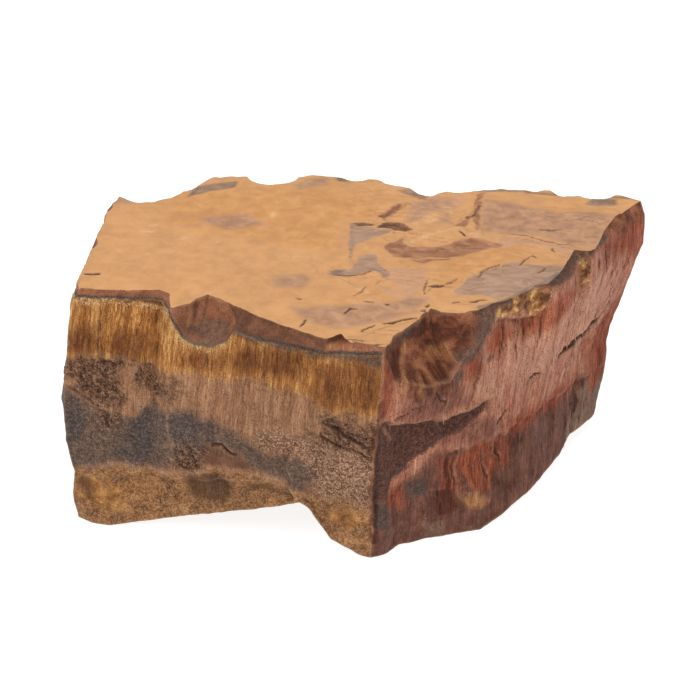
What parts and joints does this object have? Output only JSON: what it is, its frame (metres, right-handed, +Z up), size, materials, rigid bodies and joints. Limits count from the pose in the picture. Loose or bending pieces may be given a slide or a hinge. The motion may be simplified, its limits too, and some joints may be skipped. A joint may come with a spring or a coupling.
{
  "type": "rough tigers eye stone",
  "caption": "Angular broken block of golden brown banded fibrous rock with a smooth tan top skin and a reddish side, lying on its flat underside.",
  "frame": {"origin": "on the ground, under the middle of the stone's bounding box", "axes": "+X along the longest extent, +Y from the front corner to the back, +Z up from the underside to the smooth skin, the shortest extent"},
  "size_m": [0.1179, 0.0781, 0.0509],
  "materials": {
    "stone": "tan satin skin on top, golden brown and red fibrous breaks with a blue grey band on the sides"
  },
  "bodies": {
    "root": {"tigers_eye_block": "stone"}
  },
  "joints": []
}
